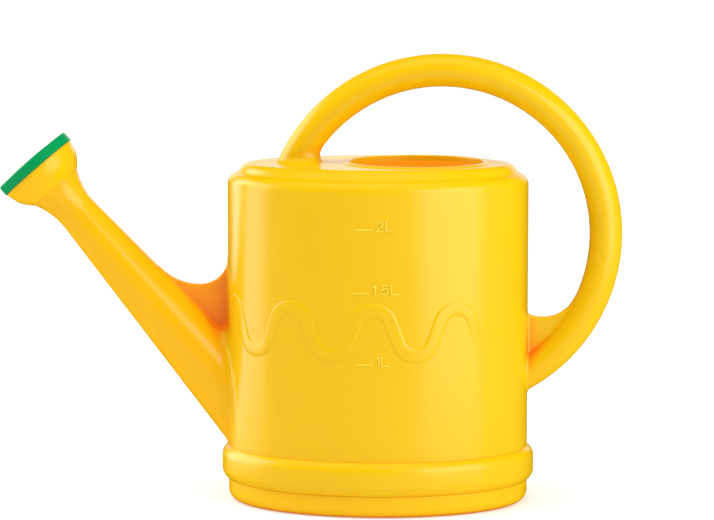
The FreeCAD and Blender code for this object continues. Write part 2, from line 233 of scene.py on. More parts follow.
def spout_field(x, y, z, inset=0.0):
    back, above = spout_place(x, z)
    return np.hypot(above, y) - spout_radius(back) + inset


def arc_edge(x, z, centre, radius, onwards):
    """A web's hollowed top edge: an arc that ends where it touches the tube or the wall."""
    across, up = x - centre[0], z - centre[1]
    past = across * onwards[0] + up * onwards[1]
    return np.maximum(radius - np.hypot(across, up), past)


def handle_web_field(x, y, z):
    to_centre = (HANDLE_WEB_CENTRE[0] - HANDLE_X, HANDLE_WEB_CENTRE[1] - HANDLE_Z)
    reach = math.hypot(*to_centre)
    onwards = (-to_centre[1] / reach, to_centre[0] / reach)
    edge = arc_edge(x, z, HANDLE_WEB_CENTRE, HANDLE_R - HANDLE_TUBE_R - reach, onwards)
    edge = np.maximum(edge, np.maximum(ring_gap(x, z), HANDLE_X - x))
    return rounded_corner(np.abs(y) - WEB_THICK / 2, edge, WEB_EDGE_ROUND)


def spout_web_field(x, y, z):
    dip_x, dip_z = SPOUT_WEB_DIP
    wall_r = -TANK_A - dip_x
    edge_slope = SPOUT_RISE - math.atan(CONE_SLOPE)
    onwards = (-math.cos(edge_slope), math.sin(edge_slope))
    on_tube = arc_edge(x, z, (dip_x, dip_z + SPOUT_WEB_TUBE_R), SPOUT_WEB_TUBE_R, onwards)
    on_wall = arc_edge(x, z, (dip_x, dip_z + wall_r), wall_r, (0, 1))
    edge = np.maximum(np.where(x > dip_x, on_wall, on_tube), -spout_place(x, z)[1])
    edge = np.maximum(edge, x)
    return rounded_corner(np.abs(y) - WEB_THICK / 2, edge, WEB_EDGE_ROUND)


def skin_from(x, y, z, gap):
    """The outside of the moulding."""
    foot = np.interp(ring_gap(x, z), *FOOT_BLENDS)
    handle_blend = np.where(x < OPENING_X, foot, ROOT_BLEND)
    body = blend(tank_field(gap, z), handle_field(x, y, z), handle_blend)
    back, above = spout_place(x, z)
    spout_blend = np.interp(above / spout_radius(back), *SPOUT_BLENDS)
    body = blend(body, spout_field(x, y, z), spout_blend)
    body = blend(body, handle_web_field(x, y, z), WEB_BLEND)
    return blend(body, spout_web_field(x, y, z), WEB_BLEND)


def lining_from(x, y, z, gap):
    """The inside of the moulding, one wall further in."""
    body = blend(tank_field(gap, z, WALL), handle_field(x, y, z, WALL), LINING_BLEND)
    return blend(body, spout_field(x, y, z, WALL), LINING_BLEND)


def at_points(make):
    """A field as a function of an array of points."""
    def field(points):
        x, y, z = points.T
        return make(x, y, z, ellipse_gap(x, y, TANK_A, TANK_B))
    return field


def tank_level(points):
    x, y, z = points.T
    return tank_field(ellipse_gap(x, y, TANK_A, TANK_B), z)


def webs_level(points):
    x, y, z = points.T
    return np.minimum(handle_web_field(x, y, z), spout_web_field(x, y, z))


def tubes_level(points):
    x, y, z = points.T
    return np.minimum(handle_field(x, y, z), spout_field(x, y, z))


def off_tank(points):
    """Positive where a tube or a web is nearer than the tank."""
    return tank_level(points) - np.minimum(tubes_level(points), webs_level(points))


def off_tank_inside(points):
    x, y, z = points.T
    tubes = np.minimum(handle_field(x, y, z, WALL), spout_field(x, y, z, WALL))
    return tank_field(ellipse_gap(x, y, TANK_A, TANK_B), z, WALL) - tubes


def on_spout(points):
    """Positive where the spout is nearer than the handle."""
    x, y, z = points.T
    return handle_field(x, y, z) - spout_field(x, y, z)


def on_web(points):
    """Positive where a web is nearer than a tube."""
    return tubes_level(points) - webs_level(points)


# Meshing

def gradient(field, points, step=0.02):
    slopes = []
    for axis in range(3):
        shift = np.zeros(3)
        shift[axis] = step
        slopes.append((field(points + shift) - field(points - shift)) / (2 * step))
    return np.stack(slopes, 1)


def settle(points, fields, rounds=3, reach=1.0):
    """Moves points on to the surface where a field is zero, or the curve where two are."""
    for _ in range(rounds):
        rows = np.stack([gradient(field, points) for field in fields], 1)
        misses = np.stack([field(points) for field in fields], 1)[..., None]
        square = rows @ rows.transpose(0, 2, 1) + TINY * np.eye(len(fields))
        moves = (rows.transpose(0, 2, 1) @ np.linalg.solve(square, misses))[..., 0]
        length = np.linalg.norm(moves, axis=1, keepdims=True)
        points = points - moves * np.minimum(1, reach / np.maximum(length, TINY))
    return points


def surface_net(values, axes):
    """Quads that follow the zero surface of a sampled field, with a point in each cell it crosses."""
    inside = values < 0
    cell_shape = np.array(inside.shape) - 1
    corners = [inside[tuple(slice(o, o + n) for o, n in zip(offset, cell_shape))]
               for offset in itertools.product((0, 1), repeat=3)]
    crossed = np.logical_or.reduce(corners) & ~np.logical_and.reduce(corners)
    cells = np.argwhere(crossed)
    index = np.full(crossed.shape, -1)
    index[crossed] = np.arange(len(cells))
    points = np.stack([(axis[cells[:, n]] + axis[cells[:, n] + 1]) / 2 for n, axis in enumerate(axes)], 1)
    quads = []
    for n in range(3):
        a, b = (n + 1) % 3, (n + 2) % 3
        step_a, step_b = np.eye(3, dtype=int)[a], np.eye(3, dtype=int)[b]
        near = np.take(inside, range(cell_shape[n]), axis=n)
        far = np.take(inside, range(1, cell_shape[n] + 1), axis=n)
        edges = np.argwhere(near != far)
        keep = (edges[:, a] > 0) & (edges[:, b] > 0)
        keep &= (edges[:, a] < cell_shape[a]) & (edges[:, b] < cell_shape[b])
        edges = edges[keep]
        around = [edges - step_a - step_b, edges - step_b, edges, edges - step_a]
        quad = np.stack([index[tuple(place.T)] for place in around], 1)
        flipped = far[tuple(edges.T)]
        quad[flipped] = quad[flipped][:, ::-1]
        quads.append(quad)
    return points, np.concatenate(quads)


def relax(points, quads, field, rounds=4):
    """Evens out the spacing of the points along the surface."""
    ends = np.concatenate([quads, np.roll(quads, -1, 1)], 1).reshape(len(quads), 2, 4)
    first, second = ends[:, 0].ravel(), ends[:, 1].ravel()
    count = np.bincount(first, minlength=len(points)) + np.bincount(second, minlength=len(points))
    count = np.maximum(count, 1)
    for _ in range(rounds):
        sums = [np.bincount(first, points[second, n], len(points))
                + np.bincount(second, points[first, n], len(points)) for n in range(3)]
        middle = np.stack(sums, 1) / count[:, None]
        points = settle((points + middle) / 2, [field], rounds=1)
    return settle(points, [field], rounds=2)


def to_triangles(points, quads):
    """Two triangles a quad, across its shorter diagonal."""
    corners = points[quads]
    short = (np.linalg.norm(corners[:, 0] - corners[:, 2], axis=1)
             <= np.linalg.norm(corners[:, 1] - corners[:, 3], axis=1))
    quads = np.where(short[:, None], quads, np.roll(quads, -1, 1))
    return np.concatenate([quads[:, [0, 1, 2]], quads[:, [0, 2, 3]]])


def draw_skin(make, step, low, high):
    axes = [np.arange(low[n], high[n] + step, step) for n in range(3)]
    x, y, z = np.ix_(*axes)
    gap = ellipse_gap(axes[0][:, None] + 0 * axes[1], axes[1] + 0 * axes[0][:, None], TANK_A, TANK_B)
    values = make(x, y, z, gap[:, :, None])
    points, quads = surface_net(values, axes)
    field = at_points(make)
    points = settle(points, [field], reach=step)
    points = relax(points, quads, field)
    return points, to_triangles(points, quads)


def cut(points, triangles, surface, level, part=None, step=SKIN_STEP):
    """Splits triangles where a level is zero. Returns the points, the triangles and the side of each."""
    value = level(points)
    if part is not None:
        value = np.where(part(points), value, FAR)
    near = np.abs(value) < SNAP_SHARE * step
    points = points.copy()
    points[near] = settle(points[near], [surface, level], reach=step / 2)
    value[near] = 0
    sign = np.sign(value).astype(int)
    corner = np.sort(np.stack([triangles, np.roll(triangles, -1, 1)], 2), 2)
    split = sign[corner[..., 0]] * sign[corner[..., 1]] < 0
    edges, which = np.unique(corner[split], axis=0, return_inverse=True)
    share = value[edges[:, 0]] / (value[edges[:, 0]] - value[edges[:, 1]])
    middle = points[edges[:, 0]] + share[:, None] * (points[edges[:, 1]] - points[edges[:, 0]])
    middle = settle(middle, [surface, level], reach=step / 2)
    new = np.full(split.shape, -1)
    new[split] = len(points) + which.ravel()
    points = np.concatenate([points, middle])
    sign = np.concatenate([sign, np.zeros(len(middle), int)])
    number = split.sum(1)
    parts = [triangles[number == 0]]
    once = number == 1
    turn = np.argmax(split[once], 1)
    t, e = turned(triangles[once], turn), turned(new[once], turn)
    parts += [np.stack([t[:, 0], e[:, 0], t[:, 2]], 1), np.stack([e[:, 0], t[:, 1], t[:, 2]], 1)]
    twice = number == 2
    turn = np.argmin(split[twice], 1) + 2
    t, e = turned(triangles[twice], turn), turned(new[twice], turn)
    parts += [np.stack([t[:, 0], e[:, 0], e[:, 2]], 1), np.stack([e[:, 0], t[:, 1], t[:, 2]], 1),
              np.stack([e[:, 0], t[:, 2], e[:, 2]], 1)]
    triangles = np.concatenate(parts)
    return points, triangles, sign[triangles].sum(1) > 0


def turned(rows, turn):
    """Each row of three, started from its own place."""
    return np.take_along_axis(rows, (np.arange(3) + turn[:, None]) % 3, 1)


def build_mesh(name, points, faces, normals=None, sharp=None):
    """A piece from points in millimetres; edges that bend by more than the sharp angle stay crisp."""
    mesh = bpy.data.meshes.new(name)
    mesh.from_pydata((points * MM).tolist(), [], faces if isinstance(faces, list) else faces.tolist())
    mesh.polygons.foreach_set("use_smooth", [True] * len(mesh.polygons))
    if normals is not None:
        mesh.normals_split_custom_set_from_vertices(normals.tolist())
    if sharp is not None:
        mesh.set_sharp_from_angle(angle=math.radians(sharp))
    piece = bpy.data.objects.new(name, mesh)
    bpy.context.scene.collection.objects.link(piece)
    return piece


def strip_faces(first, count, rows, closed):
    """Quads between rings of points that follow each other; closed joins the last ring to the first."""
    row = np.arange(rows if closed else rows - 1)[:, None]
    place = np.arange(count)
    low, high = row * count, (row + 1) % rows * count
    after = (place + 1) % count
    faces = np.stack([low + place, low + after, high + after, high + place], 2)
    return (first + faces.reshape(-1, 4)).tolist()


def ring_solid(rings, closed):
    """Points and faces of a solid through rings of points; an open row of rings is filled at both ends."""
    count = len(rings[0])
    points = np.concatenate(rings)
    faces = strip_faces(0, count, len(rings), closed)
    if not closed:
        faces.append(list(range(count))[::-1])
        faces.append(list(range(len(points) - count, len(points))))
    return outward(points, faces)


def outward(points, faces):
    """Turns the faces round where the solid that they close comes out inside out."""
    volume = 0
    for face in faces:
        corners = points[face]
        volume += np.cross(corners[1:-1], corners[2:]).sum(0) @ corners[0]
    if volume < 0:
        faces = [face[::-1] for face in faces]
    return points, faces


def joined(solids):
    points, faces, first = [], [], 0
    for some_points, some_faces in solids:
        points.append(some_points)
        faces += [[first + n for n in face] for face in some_faces]
        first += len(some_points)
    return np.concatenate(points), faces


def arc_points(centre_x, centre_y, radius, start_deg, end_deg, steps=8):
    angles = np.radians(np.linspace(start_deg, end_deg, steps + 1))
    return [(centre_x + radius * math.cos(a), centre_y + radius * math.sin(a)) for a in angles]


# The moulding in named pieces

def plane_z(height):
    return lambda points: points[:, 2] - height


def opening_level(points):
    return np.hypot(points[:, 0] - OPENING_X, points[:, 1]) - OPENING_R


def neck_level(points):
    return spout_place(points[:, 0], points[:, 2])[0] - NECK


def over_deck(points):
    return (points[:, 2] > SHOULDER_TOP - WALL) & (points[:, 2] < DECK_Z + 1)


def at_spout_end(points):
    return points[:, 0] < -TANK_A


LOW = np.array([-192.0, -66.0, BAND_TOP - 4])
HIGH = np.array([133.0, 66.0, 242.0])


def split_surface(make, level_off_tank, step, inner):
    """The named parts of one side of the moulding, as (points, triangles) with normals from its field."""
    field = at_points(make)
    points, triangles = draw_skin(make, step, LOW, HIGH)
    points, triangles, keep = cut(points, triangles, field, plane_z(BAND_TOP), step=step)
    points, triangles, keep = cut(points, triangles[keep], field, opening_level, over_deck, step)
    points, triangles, keep = cut(points, triangles[keep], field, neck_level, at_spout_end, step)
    points, triangles, off = cut(points, triangles[keep], field, level_off_tank, step=step)
    groups = {}
    tubes, tank = triangles[off], triangles[~off]
    points, tank, high = cut(points, tank, field, plane_z(SHOULDER_Z), step=step)
    groups["tank_wall"], groups["top_deck"] = tank[~high], tank[high]
    if not inner:
        points, tubes, web = cut(points, tubes, field, on_web, step=step)
        webs, tubes = tubes[web], tubes[~web]
        right = points[webs].mean(1)[:, 0] > 0
        groups["handle_web"], groups["spout_web"] = webs[right], webs[~right]
    left = on_spout(points[tubes].mean(1)) > 0
    groups["handle_tube"], groups["spout_tube"] = tubes[~left], tubes[left]
    normals = gradient(field, points)
    normals /= np.linalg.norm(normals, axis=1, keepdims=True)
    return points, normals, groups


def bridge(outer, outer_turns, inner, inner_turns):
    """Triangles between two rings of points, each in order of its turns from -pi to pi."""
    triangles, i, j = [], 0, 0
    many, few = len(outer), len(inner)
    while i < many or j < few:
        next_outer = outer_turns[(i + 1) % many] + 2 * math.pi * ((i + 1) // many)
        next_inner = inner_turns[(j + 1) % few] + 2 * math.pi * ((j + 1) // few)
        if j >= few or (i < many and next_outer <= next_inner):
            triangles.append((outer[i % many], outer[(i + 1) % many], inner[j % few]))
            i += 1
        else:
            triangles.append((outer[i % many], inner[(j + 1) % few], inner[j % few]))
            j += 1
    return triangles


def round_upright(centre_x):
    """Turns about an upright axis."""
    return lambda points: np.arctan2(points[:, 1], points[:, 0] - centre_x)


def round_spout(points):
    return np.arctan2(points[:, 1], spout_place(points[:, 0], points[:, 2])[1])


def into_opening(points):
    away = np.stack([OPENING_X - points[:, 0], -points[:, 1], 0 * points[:, 0]], 1)
    return away / np.linalg.norm(away, axis=1, keepdims=True)


def along(direction):
    return lambda points: np.tile(np.array(direction, float), (len(points), 1))


# The ends of the moulding's shells: the piece, the cut, where it applies, turns round it, the way it faces
# and whether its triangles are turned over
SPOUT_OUT = (-math.cos(SPOUT_RISE), 0.0, math.sin(SPOUT_RISE))
SHELL_ENDS = (
    ("tank_wall", plane_z(BAND_TOP), None, round_upright(0), along((0, 0, -1)), True),
    ("tank_wall", plane_z(SHOULDER_Z), None, round_upright(0), along((0, 0, 1)), False),
    ("top_deck", plane_z(SHOULDER_Z), None, round_upright(0), along((0, 0, -1)), True),
    ("top_deck", opening_level, over_deck, round_upright(OPENING_X), into_opening, False),
    ("spout_tube", neck_level, at_spout_end, round_spout, along(SPOUT_OUT), False),
)


def shell_end(outside, inside, name, level, part, turns, facing, turned_down):
    """Points, normals and triangles that close the gap between the two skins at one end."""
    rings, ring_turns, ring_points = [], [], []
    first = 0
    for points, _, groups in (outside, inside):
        used = np.unique(groups[name])
        on_cut = np.abs(level(points[used])) < ON_CUT
        if part is not None:
            on_cut &= part(points[used])
        ring = points[used[on_cut]]
        ring = ring[np.argsort(turns(ring))]
        rings.append(np.arange(first, first + len(ring)))
        ring_turns.append(turns(ring))
        ring_points.append(ring)
        first += len(ring)
    triangles = np.array(bridge(rings[0], ring_turns[0], rings[1], ring_turns[1]))
    if turned_down:
        triangles = triangles[:, ::-1]
    points = np.concatenate(ring_points)
    return points, facing(points), triangles


def moulding():
    """The pieces of the moulding by name, and for each the number of its faces on the outside."""
    pieces, lining_starts = {}, {}
    outside = split_surface(skin_from, off_tank, SKIN_STEP, False)
    inside = split_surface(lining_from, off_tank_inside, INNER_STEP, True)
    for name in outside[2]:
        points, normals, triangles = [outside[0]], [outside[1]], [outside[2][name]]
        count = len(outside[0])
        for end in SHELL_ENDS:
            if end[0] == name:
                end_points, end_normals, end_triangles = shell_end(outside, inside, *end)
                points.append(end_points)
                normals.append(end_normals)
                triangles.append(end_triangles + count)
                count += len(end_points)
        lining_starts[name] = sum(len(group) for group in triangles)
        if name in inside[2]:
            points.append(inside[0])
            normals.append(-inside[1])
            triangles.append(inside[2][name][:, ::-1] + count)
        points, normals = np.concatenate(points), np.concatenate(normals)
        used, index = np.unique(np.concatenate(triangles), return_inverse=True)
        pieces[name] = build_mesh(name + "_skin", points[used], index.reshape(-1, 3), normals[used])
    return pieces, lining_starts


# Foot, band and bead

def oval_ring(half_a, half_b, height):
    turn = np.linspace(0, 2 * math.pi, OVAL_POINTS, endpoint=False)
    return np.stack([half_a * np.cos(turn), half_b * np.sin(turn), np.full(OVAL_POINTS, height)], 1)


def wall_rings(profile):
    """Rings round the tank from pairs of distance outside the wall and height."""
    return [oval_ring(TANK_A + out, TANK_B + out, height) for out, height in profile]


def pad_rings(profile):
    return [oval_ring(PAD_A + out, PAD_B + out, height) for out, height in profile]


def base_pan():
    """The rounded foot, with the bottom pushed up inside it."""
    top = PAD_RISE + WALL
    centre = -PAD_B + 1
    recess = [(centre, PAD_RISE), (-2 * PAD_ROUND, PAD_RISE)]
    recess += arc_points(-PAD_ROUND - PAD_EASE, PAD_RISE - PAD_ROUND, PAD_ROUND, 90, 0, 4) + PAD_LIP
    foot = arc_points(-FOOT_ROUND, FOOT_ROUND, FOOT_ROUND, -90, 0, 10) + [(0, BASE_TO_BAND)]
    inside = [(-WALL, BASE_TO_BAND)]
    inside += arc_points(-WALL - INNER_ROUND, WALL + INNER_ROUND, INNER_ROUND, 0, -90, 6)
    middle = [(WALL + PAD_ROUND, WALL), (WALL, WALL + PAD_EASE), (WALL - PAD_EASE, top - PAD_EASE),
              (WALL - PAD_ROUND, top), (centre, top)]
    return ring_solid(pad_rings(recess) + wall_rings(foot + inside) + pad_rings(middle), False)


def base_band():
    """The hollow band that bulges out round the base."""
    low = BASE_TO_BAND - BAND_LOW_RUN + BAND_ROUND
    high = BAND_TOP + BAND_HIGH_RUN - BAND_ROUND
    out = BAND_PROUD - BAND_ROUND
    low_deg = math.degrees(math.asin((BASE_TO_BAND - low) / BAND_ROUND))
    high_deg = math.degrees(math.asin((BAND_TOP - high) / BAND_ROUND))
    inner_r = BAND_ROUND - WALL
    inner_deg = math.degrees(math.acos((-WALL - out) / inner_r))
    profile = arc_points(out, low, BAND_ROUND, low_deg, 0, 10)
    profile += arc_points(out, high, BAND_ROUND, 0, high_deg, 10)
    profile += [(-WALL, BAND_TOP)]
    profile += arc_points(out, high, inner_r, inner_deg, 0, 6)
    profile += arc_points(out, low, inner_r, 0, -inner_deg, 6)
    profile += [(-WALL, BASE_TO_BAND)]
    return ring_solid(wall_rings(profile), True)


def turned_rings(profile, place, angles=None):
    """Rings about an axis from pairs of radius and height; place moves them into the frame."""
    if angles is None:
        angles = np.linspace(0, 2 * math.pi, ROUND_POINTS, endpoint=False)
    rings = []
    for radius, height in profile:
        local = np.stack([radius * np.cos(angles), radius * np.sin(angles), np.full(len(angles), height)], 1)
        rings.append(place(local))
    return rings


def on_deck(local):
    return local + np.array([OPENING_X, 0, DECK_Z])


def fill_rim():
    """The low rounded bead round the fill opening."""
    width, height, crown = BEAD_WIDTH, BEAD_HEIGHT, BEAD_CROWN
    profile = [(OPENING_R, -SUNK), (OPENING_R + width, -SUNK), (OPENING_R + width, 0)]
    for share in np.linspace(0.15, 0.9, 6):
        out = width + (crown - width) * share
        profile.append((OPENING_R + out, height * math.sin(share * math.pi / 2)))
    profile += [(OPENING_R + out, height + rise) for out, rise in ((crown, 0), *BEAD_LIP)]
    return ring_solid(turned_rings(profile, on_deck), True)


# Bell and rose

SPOUT_AXES = np.array([[math.sin(SPOUT_RISE), 0, math.cos(SPOUT_RISE)], [0, 1, 0],
                       [-math.cos(SPOUT_RISE), 0, math.sin(SPOUT_RISE)]])


def on_spout_axis(local):
    """From side, depth and distance ahead of the rose's rim plane to the frame."""
    return local @ SPOUT_AXES + np.array([ROSE_FACE[0], 0, ROSE_FACE[1]])


def bell_side(steps=10):
    """The bell's outline from its neck to its rim: a round shoulder, then a straight flare."""
    share = np.linspace(0, 1, steps)[:, None]
    neck, turn, side = np.array(BELL_NECK), np.array(BELL_TURN), np.array(BELL_SIDE)
    curve = neck * (1 - share) ** 2 + turn * 2 * share * (1 - share) + side * share ** 2
    return [tuple(point) for point in curve] + [BELL_RIM]


def spout_bell():
    outside = bell_side()
    rim_r, rim = BELL_RIM
    lip = [(rim_r + out, rim + ahead) for out, ahead in BELL_LIP]
    lip.append((SPIGOT_R, lip[-1][1]))
    spigot = [(SPIGOT_R, SPIGOT_FRONT - SPIGOT_EDGE), (SPIGOT_R - SPIGOT_EDGE, SPIGOT_FRONT),
              (SPIGOT_R - SPIGOT_WALL, SPIGOT_FRONT), (SPIGOT_R - SPIGOT_WALL, rim - WALL)]
    inside = [(radius - WALL, ahead - INSIDE_LAG) for radius, ahead in outside[-3:0:-1]]
    inside.append((BELL_NECK[0] - WALL, -NECK))
    return ring_solid(turned_rings(outside + lip + spigot + inside, on_spout_axis), True)


def rose_hole_places():
    places = [(0.0, 0.0)]
    for ring in range(1, HOLE_RINGS + 1):
        for number in range(ring * HOLES_PER_RING_STEP):
            angle = 2 * math.pi * number / (ring * HOLES_PER_RING_STEP)
            places.append((ring * HOLE_RING_STEP * math.cos(angle), ring * HOLE_RING_STEP * math.sin(angle)))
    return np.array(places)


def holes_level(points):
    """Distance outside the nearest of the rose's holes."""
    gap = np.full(len(points), DOME_R)
    for place in rose_hole_places():
        gap = np.minimum(gap, np.hypot(*(points[:, :2] - place).T))
    return gap - HOLE_R


def dome_height(points):
    share = np.hypot(points[:, 0], points[:, 1]) / DOME_R
    return ROSE_FRONT + DOME_RISE * (1 - share ** 2)


def dome_level(points):
    return points[:, 2] - dome_height(points)


def dome_edge_level(points):
    return DOME_R - np.hypot(points[:, 0], points[:, 1])


def rim_edges(triangles):
    """Directed edges that only one triangle has."""
    edges = np.concatenate([triangles[:, [0, 1]], triangles[:, [1, 2]], triangles[:, [2, 0]]])
    known = {tuple(edge) for edge in edges.tolist()}
    return [edge for edge in known if edge[::-1] not in known]


def rose():
    """The press-on cap, with crisp round holes through its domed face."""
    axis = np.arange(-DOME_R - ROSE_STEP, DOME_R + 2 * ROSE_STEP, ROSE_STEP)
    count = len(axis)
    u, v = np.meshgrid(axis, axis, indexing="ij")
    points = np.stack([u.ravel(), v.ravel(), 0 * u.ravel()], 1)
    points[:, 2] = dome_height(points)
    corner = (np.arange(count - 1)[:, None] * count + np.arange(count - 1)).ravel()
    quads = np.stack([corner, corner + count, corner + count + 1, corner + 1], 1)
    triangles = np.concatenate([quads[:, [0, 1, 2]], quads[:, [0, 2, 3]]])
    for level in (dome_edge_level, holes_level):
        points, triangles, keep = cut(points, triangles, dome_level, level, step=ROSE_STEP)
        triangles = triangles[keep]
    used, index = np.unique(triangles, return_inverse=True)
    top, triangles = points[used], index.reshape(-1, 3)
    size = len(top)
    under = top - np.array([0, 0, ROSE_FACE_THICK])
    faces = triangles.tolist() + (triangles[:, ::-1] + size).tolist()
    on_edge = np.hypot(top[:, 0], top[:, 1]) > DOME_R - ROSE_STEP / 10
    for start, end in rim_edges(triangles):
        if not (on_edge[start] and on_edge[end]):
            faces.append([end, start, start + size, end + size])
    border = np.flatnonzero(on_edge)
    angles = np.arctan2(top[border, 1], top[border, 0])
    order = np.argsort(angles)
    border, angles = border[order], angles[order]
    inner_r, low = ROSE_R - ROSE_SKIRT, ROSE_FRONT - ROSE_FACE_THICK
    profile = [(inner_r, low), (inner_r, ROSE_BACK), (ROSE_R, ROSE_BACK)]
    profile += arc_points(ROSE_R - ROSE_EDGE, ROSE_FRONT - ROSE_EDGE, ROSE_EDGE, 0, 90, 6)
    rings = turned_rings(profile, lambda local: local, angles)
    faces += strip_faces(2 * size, len(border), len(rings), False)
    first, last = 2 * size, 2 * size + (len(rings) - 1) * len(border)
    for n in range(len(border)):
        m = (n + 1) % len(border)
        faces.append([border[n] + size, border[m] + size, first + m, first + n])
        faces.append([last + n, last + m, border[m], border[n]])
    faces = [[int(n) for n in face] for face in faces]
    return on_spout_axis(np.concatenate([top, under] + rings)), faces


# Reliefs on the wall

# Distance round the oval wall from the middle of a broad face, for the turn at each place
TURNS = np.linspace(-math.pi / 2, math.pi / 2, 801)
REACH = np.hypot(TANK_A * np.cos(TURNS), TANK_B * np.sin(TURNS))
AROUND = np.concatenate([[0], np.cumsum((REACH[1:] + REACH[:-1]) / 2 * np.diff(TURNS))])
AROUND = AROUND - AROUND[-1] / 2


def on_wall(around, height, proud, side):
    """From distance round the wall from the middle of a face, height and rise off the wall to the frame."""
    turn = np.interp(around, AROUND, TURNS)
    normal = np.stack([np.sin(turn) / TANK_A, np.cos(turn) / TANK_B])
    normal = normal / np.hypot(*normal)
    x = TANK_A * np.sin(turn) + proud * normal[0]
    y = TANK_B * np.cos(turn) + proud * normal[1]
    return np.stack([x, side * y, height], -1)


def wave_line(offset, steps=12, straight_steps=6):
    """Distance round the wall and height along a line that runs an offset above the wave's middle."""
    straight = (WAVE_HALF_PERIOD - 2 * WAVE_ARC_R * math.sin(WAVE_FLANK)) / math.cos(WAVE_FLANK)
    swing = WAVE_ARC_R * (1 - math.cos(WAVE_FLANK)) + straight * math.sin(WAVE_FLANK) / 2
    line = []
    for bend in WAVE_BENDS:
        crest = 1 if bend % 2 == 0 else -1
        centre = np.array([WAVE_CREST + bend * WAVE_HALF_PERIOD, WAVE_Z + crest * (swing - WAVE_ARC_R)])
        radius = WAVE_ARC_R + crest * offset
        first = steps // 2 if bend == WAVE_BENDS[0] else 0
        last = steps // 2 if bend == WAVE_BENDS[-1] else steps
        arc = [centre + radius * np.array([math.sin(angle), crest * math.cos(angle)])
               for angle in WAVE_FLANK * (2 * np.arange(first, last + 1) / steps - 1)]
        if line:
            shares = np.arange(1, straight_steps) / straight_steps
            line += [line[-1] + share * (arc[0] - line[-1]) for share in shares]
        line += arc
    return np.array(line)


def wave_relief(side):
    """The raised wave as a ribbon with round edges that sinks into the wall at its end."""
    half = WAVE_WIDTH / 2
    edge = [(WAVE_EDGE * share, WAVE_PROUD * (1 - math.cos(math.pi * share)) / 2)
            for share in np.linspace(0, 1, 8)]
    profile = [(-half, -SUNK)] + [(inset - half, rise) for inset, rise in edge]
    profile += [(0, WAVE_PROUD)] + [(half - inset, rise) for inset, rise in edge[::-1]] + [(half, -SUNK)]
    lines = []
    for offset, rise in profile:
        line = wave_line(offset)
        fade = np.clip((WAVE_FADE[1] - line[:, 0]) / (WAVE_FADE[1] - WAVE_FADE[0]), 0, 1)
        start = np.clip((line[:, 0] - line[0, 0]) / WAVE_START_RUN, 0, 1)
        strength = np.minimum(fade, np.sqrt(start))
        lines.append(on_wall(line[:, 0], line[:, 1], (rise + SUNK) * strength - SUNK, side))
    rings = np.stack(lines, 1)
    return ring_solid(list(rings), False)


def smooth_runs(path, most=math.radians(40)):
    """A path of points in pieces that don't turn sharply."""
    runs, run = [], [path[0], path[1]]
    for before, here, after in zip(path, path[1:], path[2:]):
        first = math.atan2(here[1] - before[1], here[0] - before[0])
        second = math.atan2(after[1] - here[1], after[0] - here[0])
        if abs((second - first + math.pi) % (2 * math.pi) - math.pi) > most:
            runs.append(run)
            run = [here]
        run.append(after)
    return runs + [run]


def stroke_solid(path):
    """A half-round stroke with round ends along a path on the unrolled front face."""
    path = np.array(path)
    radius = MARK_STROKE / 2
    ways = np.diff(path, axis=0)
    ways = ways / np.linalg.norm(ways, axis=1, keepdims=True)
    along = np.concatenate([ways[:1], (ways[1:] + ways[:-1]) / 2, ways[-1:]])
    shares = np.sin(np.linspace(0, math.pi / 2, 5)[1:])
    stations = [(path[0] - along[0] * radius * share, along[0], math.sqrt(max(1 - share ** 2, 0.01)))
                for share in shares[::-1]]
    stations += [(place, way, 1.0) for place, way in zip(path, along)]
    stations += [(path[-1] + along[-1] * radius * share, along[-1], math.sqrt(max(1 - share ** 2, 0.01)))
                 for share in shares]
    angles = np.linspace(0, math.pi, 9)
    across = np.concatenate([[radius], radius * np.cos(angles), [-radius]])
    rise = np.concatenate([[-SUNK], MARK_PROUD * np.sin(angles), [-SUNK]])
    rings = []
    for place, way, scale in stations:
        spots = place + np.outer(across * scale, [-way[1], way[0]])
        height = np.where(rise > 0, rise * scale, rise)
        rings.append(on_wall(spots[:, 0], spots[:, 1], height, -1))
    return ring_solid(rings, False)


def glyph_stroke(character):
    """The one stroke that draws a character, from its lower left corner."""
    wide = GLYPH_WIDTHS[character]
    high = GLYPH_HEIGHT - MARK_STROKE
    strokes = {
        "1": [(0, ONE_FLAG_Z), (wide, high), (wide, 0)],
        ".": [(0, 0), (wide, 0)],
        "2": arc_points(wide / 2, high - TWO_R, TWO_R, 165, -40) + [(0, 0), (wide, 0)],
        "5": [(3.4, high), (0.8, high), (0.4, 2.2)] + arc_points(1.7, FIVE_R, FIVE_R, 100, -140),
        "L": [(0, high), (0, 0), (wide, 0)],
    }
    return strokes[character]


def level_marks():
    """A dash and its label at each level."""
    strokes = []
    for label, height, start in LEVELS:
        strokes.append([(start, height), (start + DASH_LENGTH, height)])
        x = start + DASH_LENGTH + DASH_GAP
        for character in label:
            strokes.append([(x + dx, height - DASH_LIFT + dz) for dx, dz in glyph_stroke(character)])
            x += GLYPH_WIDTHS[character] + MARK_STROKE + GLYPH_GAP
    return joined([stroke_solid(run) for stroke in strokes for run in smooth_runs(stroke)])


# Materials

CLOUD_SCALE, SHINE_SCALE, GRAIN_SCALE = 28.0, 90.0, 420.0
GRAIN_DEPTH = 0.4


def noise(tree, place, scale, detail):
    node = tree.nodes.new("ShaderNodeTexNoise")
    node.inputs["Scale"].default_value = scale
    node.inputs["Detail"].default_value = detail
    tree.links.new(place, node.inputs["Vector"])
    return node.outputs["Fac"]


def ramp(tree, value, stops):
    node = tree.nodes.new("ShaderNodeValToRGB")
    elements = node.color_ramp.elements
    while len(elements) < len(stops):
        elements.new(0.5)
    for element, (place, color) in zip(elements, stops):
        element.position = place
        element.color = (*color, 1)
    tree.links.new(value, node.inputs["Fac"])
    return node.outputs["Color"]


